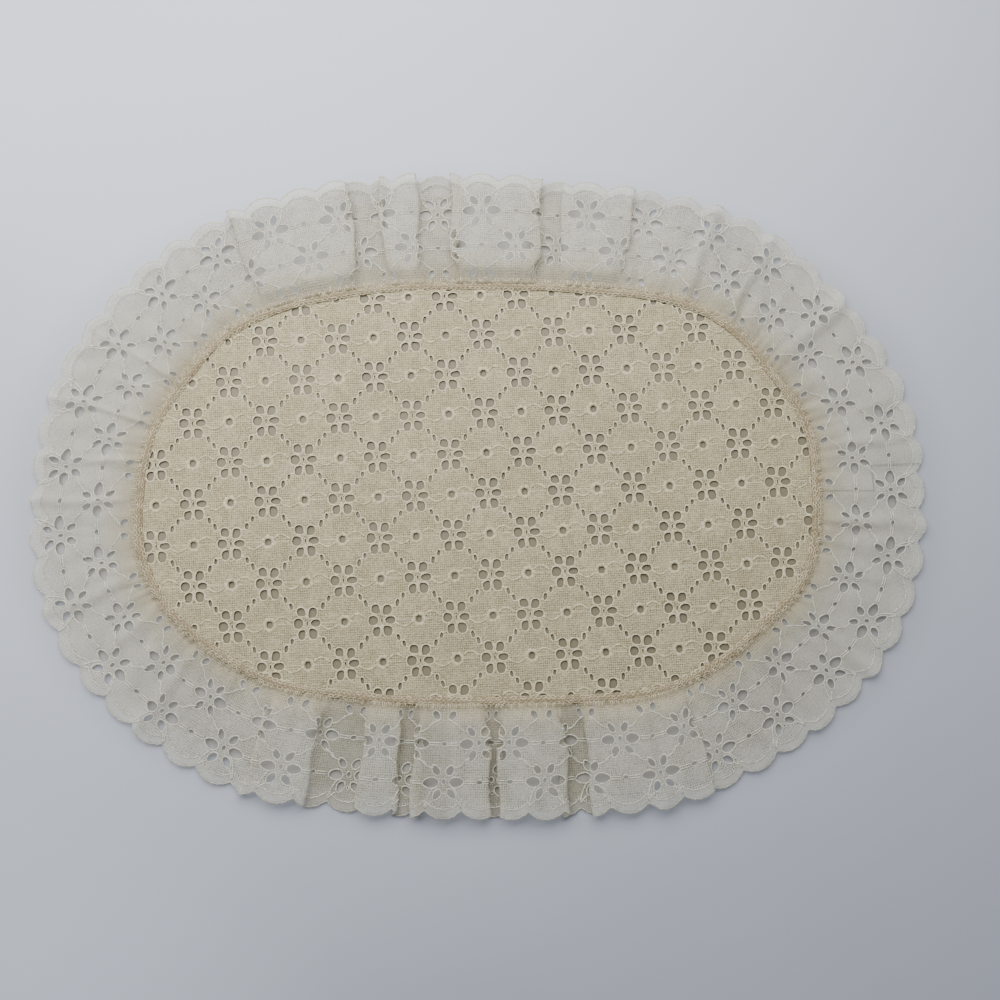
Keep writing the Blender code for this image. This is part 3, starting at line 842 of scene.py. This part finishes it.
def buildRuffle():
    holes, work = [], Stitching()
    for flower in range(ruffle["repeats"]):
        sewRepeat(ruffle["firstFlower"] + flower * repeat, holes, work)
    sewEdge(work)
    side, columns = cutLine(), clothColumns() + ruffle["cut"]["low"]
    holes = [movedIntoStrip(hole) for hole in holes]
    grid = clearOfHoles(stripGrid(columns), holes, ruffle["holeMargin"])
    chart, faces = clothChart(stripOutline(columns, side), holes, grid)
    u, v = chart.T
    cloth = thicken("ruffleCloth", chart, faces, ruffleSurface, ruffle["thickness"],
                    [("border", v - innerArc(u)), ("out", v), ("recessShade", recessShadeAt(u))],
                    joinedEnds(chart, side))
    return cloth, work.build("ruffleStitching", ruffleSurface, ruffle["thickness"])


# the overlocked seam: a flat roll of thread with two rows of loops, and legs over the ruffle

seam = dict(
    width=4.4, rise=1.35, edgeRise=0.75,
    foot=0.15, innerLip=0.62, outerLip=0.8,         # heights of the roll's two sides
    station=1.1,
    rows=(-1.38, 1.25),         # of thread loops
    loop=dict(gap=2.5, length=2.9, across=1.35, width=0.58, height=0.16, points=12),
    zigzag=dict(width=0.5, height=0.3, shade=0.9),
    legs=dict(start=1.5, reach=2.4, gap=1.1, width=0.6, height=0.24, foot=1.3),
)


def bandHeight(out):
    inside = np.clip(1 - (out / (seam["width"] / 2)) ** 2, 0, 1)
    return seam["edgeRise"] + (seam["rise"] - seam["edgeRise"]) * inside ** 0.6


def seamSurface(chart, lift):
    x, y = seamPoint(chart[:, 0], chart[:, 1])
    along = chart[:, 0] / seamLength * 2 * np.pi
    swell = 0.08 * np.sin(83 * along) + 0.07 * np.sin(131 * along + 1)
    return np.stack([x, y, bandHeight(chart[:, 1]) + swell + lift], axis=1)


def buildBand():
    half = seam["width"] / 2
    stations = int(seamLength / seam["station"])
    along = np.linspace(0, seamLength, stations, endpoint=False)
    ragged = 0.18 * np.sin(along / 2.6 + 2 * np.sin(along / 11)) + 0.12 * np.sin(along / 1.3)
    profile = [(-1, seam["foot"]), (-1, seam["innerLip"]), (-0.72, None), (-0.25, None),
               (0.25, None), (0.72, None), (1, seam["outerLip"]), (1, seam["foot"])]
    points = []
    for out, z in profile:
        ring = seamSurface(paired(along, out * (half + ragged)), np.zeros(stations))
        if z is not None:
            ring[:, 2] = z
        points.append(ring)
    faces = [face[::-1] for face in tubeFaces(stations, len(profile), True)]
    return addObject("seamBand", np.concatenate(points), faces)


def sewLoops(work):
    loop, zigzag = seam["loop"], seam["zigzag"]
    count = int(seamLength / loop["gap"])
    gap = seamLength / count
    t = roundTurn(loop["points"])
    for row, out in enumerate(seam["rows"]):
        for i in range(count):
            place = (i + 0.5 * row) * gap + rng.uniform(-0.2, 0.2)
            sway = 0.28 * math.sin(place / 7.3 + 2 * row) + rng.uniform(-0.12, 0.12)
            size = rng.uniform(0.85, 1.1, 2)
            path = paired(np.cos(t) * loop["length"] / 2 * size[0],
                          np.sin(t) * loop["across"] / 2 * size[1])
            path = turned(path, rng.uniform(-0.35, 0.35), (place, out + sway))
            work.line(path, loop | dict(shade=rng.uniform(0.2, 1.0)), True, 3)
    places = np.arange(0, seamLength, gap / 2)
    side = np.where(np.arange(len(places)) % 2, 1, -1) * rng.uniform(0.7, 1.1, len(places))
    work.line(paired(places, side), zigzag, sides=3)


def sewLegs(work):
    # short threads that reach from the roll over the ruffle's gathers
    legs = seam["legs"]
    for u in np.arange(0.4, stripLength - 0.4, legs["gap"]):
        out = legs["start"] + legs["reach"] * rng.uniform(0.5, 1.2)
        lean = rng.uniform(-0.4, 0.4)
        path = [(u, legs["foot"]), (u + lean / 2, (legs["foot"] + out) / 2), (u + lean, out)]
        work.line(path, legs | dict(shade=rng.uniform(0.3, 1.0)), sides=3)


def buildSeam():
    loops, legs = Stitching(), Stitching()
    sewLoops(loops)
    sewLegs(legs)
    return (buildBand(), loops.build("seamThreads", seamSurface, 0),
            legs.build("seamTicks", ruffleSurface, ruffle["thickness"]))


# materials, all from nodes

class Value:
    # an output of a node; sums, differences and products of these are nodes too

    def __init__(self, socket):
        self.socket, self.tree = socket, socket.id_data

    def calc(self, operation, other=0.0, clamp=False):
        return addNode(self.tree, "ShaderNodeMath", {0: self, 1: other}, operation=operation,
                       use_clamp=clamp)

    def __add__(self, other):
        return self.calc("ADD", other)

    def __sub__(self, other):
        return self.calc("SUBTRACT", other)

    def __mul__(self, other):
        return self.calc("MULTIPLY", other)

    def rest(self):
        # 1 minus this
        return self * -1.0 + 1.0


def setSockets(node, inputs):
    for socket, value in dict(inputs).items():
        if isinstance(value, Value):
            value.tree.links.new(value.socket, node.inputs[socket])
        else:
            node.inputs[socket].default_value = value


def addNode(tree, kind, inputs=(), output=0, **settings):
    node = tree.nodes.new(kind)
    for label, value in settings.items():
        setattr(node, label, value)
    setSockets(node, inputs)
    return Value(node.outputs[output])


def newMaterial(name):
    material = bpy.data.materials.new(name)
    material.use_nodes = True
    return material, material.node_tree


def blendColours(share, first, second, kind="MIX"):
    return addNode(share.tree, "ShaderNodeMix", {0: share, 6: first, 7: second}, 2,
                   data_type="RGBA", blend_type=kind)


def threads(value, pitch):
    # 0 to 1 and back once in each pitch
    return (value * (2 * math.pi / pitch)).calc("SINE") * 0.5 + 0.5


def noise(place, scale, detail):
    return addNode(place.tree, "ShaderNodeTexNoise",
                   {"Vector": place, "Scale": scale, "Detail": detail}, "Fac")


def ramp(value, low, high):
    return addNode(value.tree, "ShaderNodeMapRange", {0: value, 1: low, 2: high, 3: 0.0, 4: 1.0},
                   interpolation_type="SMOOTHSTEP")


def attribute(tree, name):
    return addNode(tree, "ShaderNodeAttribute", (), "Fac", attribute_name=name)


def objectPlace(tree):
    return addNode(tree, "ShaderNodeTexCoord", (), "Object")


def axes(place):
    node = addNode(place.tree, "ShaderNodeSeparateXYZ", {0: place}).socket.node
    return [Value(socket) for socket in node.outputs]


def bumped(height, strength, distance):
    return addNode(height.tree, "ShaderNodeBump",
                   {"Height": height, "Strength": strength, "Distance": distance}, "Normal")


clothFinish = {"Roughness": 0.88, "Sheen Weight": 0.06, "Sheen Roughness": 0.5}


def finishCloth(material, colour, height, look):
    # cloth that lets some light through, and where it is sheer, some of the view
    tree = material.node_tree
    principled = tree.nodes["Principled BSDF"]
    normal = bumped(height, look["bump"], look["relief"])
    setSockets(principled, clothFinish | {"Base Color": colour, "Normal": normal})
    through = addNode(tree, "ShaderNodeBsdfTranslucent", {"Color": colour})
    last = addNode(tree, "ShaderNodeMixShader",
                   {0: look["glow"], 1: Value(principled.outputs[0]), 2: through})
    if "sheer" in look:
        clear = addNode(tree, "ShaderNodeBsdfTransparent")
        last = addNode(tree, "ShaderNodeMixShader", {0: look["sheer"], 1: last, 2: clear})
    setSockets(tree.nodes["Material Output"], {"Surface": last})
    return material


weave = dict(
    gaps=(0.15, 0.7),           # how soft the dark gaps between the threads are
    patches=(0.36, 0.62), patchScale=0.6, patchLeast=0.4,
    grains=(0.42, 0.60), grainScale=4.5, grainShare=0.45,
)


def stipple(place, x, y, look):
    # dark gaps between the threads, stronger in some patches than in others
    wander, (across, along) = noise(place, look["wanderScale"], 2), look["wander"]
    x, y = x + wander * across, y + wander * along
    gaps = threads(x, look["columnPitch"]) * threads(y, look["rowPitch"])
    patches = ramp(noise(place, look["scale"] * weave["patchScale"], 3), *weave["patches"])
    grains = ramp(noise(place, look["scale"] * weave["grainScale"], 2), *weave["grains"])
    least = weave["patchLeast"]
    dots = ramp(gaps, *weave["gaps"]) * (patches * (1 - least) + least)
    return dots + grains * weave["grainShare"], x


panelLook = dict(
    cloth=(0.532, 0.461, 0.286, 1), deep=(0.20, 0.16, 0.078, 1), pale=(0.59, 0.519, 0.334, 1),
    slowScale=26, slow=(0.3, 0.7),
    rowPitch=0.00115, columnPitch=0.00107, scale=220,
    wanderScale=500, wander=(0.0012, 0.0009),
    depth=0.73, glow=0.10, bump=0.7, relief=0.0004,
)


def panelMaterial():
    look, (material, tree) = panelLook, newMaterial("panelCotton")
    place = addNode(tree, "ShaderNodeMapping", {"Vector": objectPlace(tree),
                                                "Rotation": (0, 0, -panel["turn"])})
    x, y, _ = axes(place)
    share, _ = stipple(place, x, y, look)
    slow = ramp(noise(place, look["slowScale"], 4), *look["slow"])
    colour = blendColours(slow, look["cloth"], look["pale"])
    colour = blendColours(share.calc("MULTIPLY", look["depth"], True), colour, look["deep"])
    return finishCloth(material, colour, share.rest(), look)


ruffleLook = dict(
    cloth=(0.955, 0.93, 0.825, 1), deep=(0.30, 0.27, 0.18, 1),
    nearSeam=(0.87, 0.77, 0.54, 1), warm=(5.0, 26.0), warmScale=0.6, warmDrift=8,
    border=(0.97, 0.955, 0.87, 1), borderEdge=(-0.5, 0.7), borderWeave=0.4,
    satinPitch=0.13, satinScale=3, satin=0.5,
    # painted shade colour where the cloth lies low or double, and its strength
    recessShade=(0.62, 0.58, 0.44, 1), recessShadeDepth=0.75,
    rowPitch=0.118, columnPitch=0.110, scale=2.2,
    wanderScale=5, wander=(0.12, 0.09),
    weaveShares=(0.55, 1.15),   # how much of the weave shows: on the plain ends, by the tucks
    plain=(0.19, 0.12),
    depth=0.60, glow=0.40, sheer=0.58, bump=0.7, relief=0.0004,
)


def ruffleMaterial():
    look, (material, tree) = ruffleLook, newMaterial("ruffleVoile")
    chart = addNode(tree, "ShaderNodeUVMap", uv_map="cloth")
    border = ramp(attribute(tree, "border"), *look["borderEdge"])
    inside = (border * (1 - look["borderWeave"])).rest()
    u, v, _ = axes(chart)
    share, u = stipple(chart, u, v, look)
    satin = threads(u, look["satinPitch"]) * noise(chart, look["satinScale"], 2)
    height = share.rest() * inside + satin * border
    plain, tucked = look["weaveShares"]
    tucks = ramp(axes(objectPlace(tree))[0].calc("ABSOLUTE"), *look["plain"])
    share = share * inside * (tucks * (tucked - plain) + plain) + border * (satin * look["satin"])
    slow = noise(chart, look["warmScale"], 3) * look["warmDrift"]
    warm = ramp(attribute(tree, "out") + slow, *look["warm"])
    colour = blendColours(warm, look["nearSeam"], look["cloth"])
    colour = blendColours(border, colour, look["border"])
    # painted shade where the cloth lies low between raised folds or lies double
    low = attribute(tree, "recessShade") * look["recessShadeDepth"]
    colour = blendColours(low, colour, look["recessShade"])
    colour = blendColours(share.calc("MULTIPLY", look["depth"], True), colour, look["deep"])
    return finishCloth(material, colour, height, look)


floss = dict(grainDetail=2, slowScale=30, shade=0.8, grains=0.3, darker=0.2)
flossLooks = dict(
    panelFloss=dict(light=(0.77, 0.70, 0.475, 1), dark=(0.42, 0.355, 0.205, 1), grain=1500),
    ruffleFloss=dict(light=(0.86, 0.84, 0.74, 1), dark=(0.56, 0.53, 0.42, 1), grain=1500,
                     glow=0.3),
    seamRoll=dict(light=(0.47, 0.39, 0.25, 1), dark=(0.26, 0.20, 0.11, 1), grain=900),
    seamCotton=dict(light=(0.78, 0.70, 0.50, 1), dark=(0.33, 0.25, 0.14, 1), grain=900),
)


def flossMaterial(name):
    material, tree = newMaterial(name)
    look, place = dict(glow=0.15, bump=0.4, relief=0.0002) | flossLooks[name], objectPlace(tree)
    grains = noise(place, look["grain"], floss["grainDetail"])
    uneven = (grains + noise(place, floss["slowScale"], 3)) * floss["grains"]
    share = attribute(tree, "shade") * floss["shade"] + uneven
    share = share.calc("SUBTRACT", floss["darker"], True)
    colour = blendColours(share, look["dark"], look["light"])
    return finishCloth(material, colour, grains, look)


tableLook = dict(
    pale=(0.535, 0.568, 0.645, 1), dull=(0.500, 0.533, 0.610, 1),
    # painted shade on the table just outside the rim, under the panel, under the flat ruffle and
    # its low gaps; painted warm light under the raised tucks
    shadeBeside=(0.82, 0.81, 0.79, 1), shadeUnderPanel=(0.47, 0.38, 0.215, 1),
    shadeUnderFlat=(0.785, 0.735, 0.625, 1), lightUnderTucks=(1.12, 1.05, 0.90, 1),
    shadeUnderGap=(0.72, 0.70, 0.65, 1),
    ruffleOval=(50.5, 2.25),    # how much wider than the seam's, and its power
    ruffleEdge=(0.93, 1.03), panelEdge=(0.98, 1.04), shadeBesideEdge=(0.98, 1.32),
    tucks=(0.135, 0.105), gap=(0.105, 0.112), gapSoft=(0.003, -0.001),
    patches=[                   # painted patches of light and shade: x, y, reach, brightness
        (-0.22, -0.27, 0.16, 1.24), (-0.30, 0.03, 0.14, 0.86), (0.0, -0.29, 0.12, 0.94),
    ],
    # painted falloff of light: the table darkens from start to end of the fade
    fade=((-0.22, 0.02), (0.22, -0.20)), faded=0.86,
    sheenScale=9, bumpScale=14, roughness=0.55, bump=0.12, relief=0.004,
)


def ovalShare(parts, grow, power, inner, outer):
    # 1 inside an oval this much larger than the seam's, 0 outside, with a soft edge
    shares = []
    for part, centre, half in zip(parts, oval["centre"], ("halfLength", "halfWidth")):
        share = (part - centre * mm).calc("DIVIDE", (oval[half] + grow) * mm)
        shares.append(share.calc("ABSOLUTE").calc("POWER", power))
    return ramp(shares[0] + shares[1], inner, outer).rest()


def lowPlaces():
    # both ends, on the table, of each stretch where the ruffle lies low between tucks, for the
    # painted shade under it
    tucks = ruffle["tucks"]
    for (place, _, height), (following, _, _) in zip(tucks, tucks[1:]):
        if height < ruffle["recessLevel"]:
            x, y = seamPoint(np.array([place, following]), np.full(2, 30.0))
            yield x * mm, y[0]


def tableSheen(place, parts):
    # bright and dull patches from noise, painted patches of light and shade at listed places, and a
    # slow painted fade away from the light
    colour = blendColours(noise(place, tableLook["sheenScale"], 4), tableLook["dull"],
                          tableLook["pale"])
    start, end = np.array(tableLook["fade"])
    slope = (end - start) / np.dot(end - start, end - start)
    along, first = parts[0] * slope[0] + parts[1] * slope[1], np.dot(start, slope)
    fade = ramp(along, first, first + 1) * (1 - tableLook["faded"])
    colour = blendColours(fade, colour, (0, 0, 0, 1))
    for x, y, reach, factor in tableLook["patches"]:
        away = addNode(place.tree, "ShaderNodeVectorMath", {0: place, 1: (x, y, 0)}, "Value",
                       operation="DISTANCE")
        colour = blendColours(ramp(away, reach, 0), colour, (factor, factor, factor, 1),
                              "MULTIPLY")
    return colour


def floorMaterial():
    # painted shade and warm painted light on the table under the cloth, and a little painted shade
    # just outside its rim
    look, (material, tree) = tableLook, newMaterial("tableCloth")
    place = objectPlace(tree)
    parts = axes(place)
    shadeUnderRuffle = ovalShare(parts, *look["ruffleOval"], *look["ruffleEdge"])
    shadeUnderPanel = ovalShare(parts, 1.0, oval["power"], *look["panelEdge"])
    raised = ramp(parts[0].calc("ABSOLUTE"), *look["tucks"])
    shade = blendColours(raised, look["shadeUnderFlat"], look["lightUnderTucks"])
    shade = blendColours(shadeUnderPanel, shade, look["shadeUnderPanel"])
    layers = [(ovalShare(parts, *look["ruffleOval"], *look["shadeBesideEdge"]), look["shadeBeside"]),
              (shadeUnderRuffle, shade)]
    # painted shade under each low gap between tucks
    for x, y in lowPlaces():
        half = abs(x[1] - x[0]) / 2
        inX = ramp((parts[0] - float(x.mean())).calc("ABSOLUTE"),
                   *[half + soft for soft in look["gapSoft"]])
        inY = ramp(parts[1] * math.copysign(1, y), *look["gap"])
        layers.append((inX * (inY * shadeUnderRuffle), look["shadeUnderGap"]))
    colour = tableSheen(place, parts)
    for share, layer in layers:
        colour = blendColours(share, colour, layer, "MULTIPLY")
    setSockets(tree.nodes["Principled BSDF"], {
        "Base Color": colour, "Roughness": look["roughness"],
        "Normal": bumped(noise(place, look["bumpScale"], 3), look["bump"], look["relief"])})
    return material


def give(things, material):
    for thing in things:
        thing.data.materials.clear()
        thing.data.materials.append(material)


panelCloth, panelStitches = buildPanel()
print("panel", len(panelCloth.data.polygons), len(panelStitches.data.polygons))
ruffleCloth, ruffleStitches = buildRuffle()
print("ruffle", len(ruffleCloth.data.polygons), len(ruffleStitches.data.polygons))
seamBand, seamThreads, seamTicks = buildSeam()
print("seam", len(seamBand.data.polygons), len(seamThreads.data.polygons))

give([panelCloth], panelMaterial())
give([panelStitches], flossMaterial("panelFloss"))
give([ruffleCloth], ruffleMaterial())
give([ruffleStitches], flossMaterial("ruffleFloss"))
give([seamBand], flossMaterial("seamRoll"))
give([seamThreads, seamTicks], flossMaterial("seamCotton"))

for thing, node, slot in ((panelCloth, "panel", "panel_cloth"), (seamBand, "seam", "seam_thread"),
                          (ruffleCloth, "ruffle", "ruffle_lace")):
    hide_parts(node)
    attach(thing, "root")
for thing, slot in ((panelStitches, "panel_cloth"), (ruffleStitches, "ruffle_lace"),
                    (seamThreads, "seam_thread"), (seamTicks, "seam_thread")):
    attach(thing, "root")


# the table, the light and the camera

bpy.ops.mesh.primitive_plane_add(size=3, location=(0, 0, -0.0002))
floor = bpy.context.object
floor.name = "table"
give([floor], floorMaterial())

studio = dict(
    sky=(0.88, 0.92, 1.0, 1), skyStrength=0.26,
    lamp=dict(place=(-0.15, 0.40, 0.47), size=(1.0, 0.6), power=11.0, aim=(-0.08, 0.18, 0)),
    camera=dict(place=(-0.00658, -0.06058, 0.5102), turn=(6.02, -1.63, -0.32), lens=36,
                sensor=36),
)

world = bpy.data.worlds.new("studio")
bpy.context.scene.world = world
world.use_nodes = True
setSockets(world.node_tree.nodes["Background"], {0: studio["sky"], 1: studio["skyStrength"]})
softbox = studio["lamp"]
lampData = bpy.data.lights.new("softbox", "AREA")
lampData.shape, lampData.energy = "RECTANGLE", softbox["power"]
lampData.size, lampData.size_y = softbox["size"]
lamp = addToScene("softbox", lampData, softbox["place"])
aim = Vector(softbox["aim"]) - lamp.location
lamp.rotation_euler = aim.to_track_quat("-Z", "Y").to_euler()

cameraData = bpy.data.cameras.new("camera")
cameraData.sensor_width, cameraData.lens = studio["camera"]["sensor"], studio["camera"]["lens"]
camera = addToScene("camera", cameraData, studio["camera"]["place"])
camera.rotation_euler = [math.radians(turn) for turn in studio["camera"]["turn"]]
bpy.context.scene.camera = camera
print("table, light and camera placed")
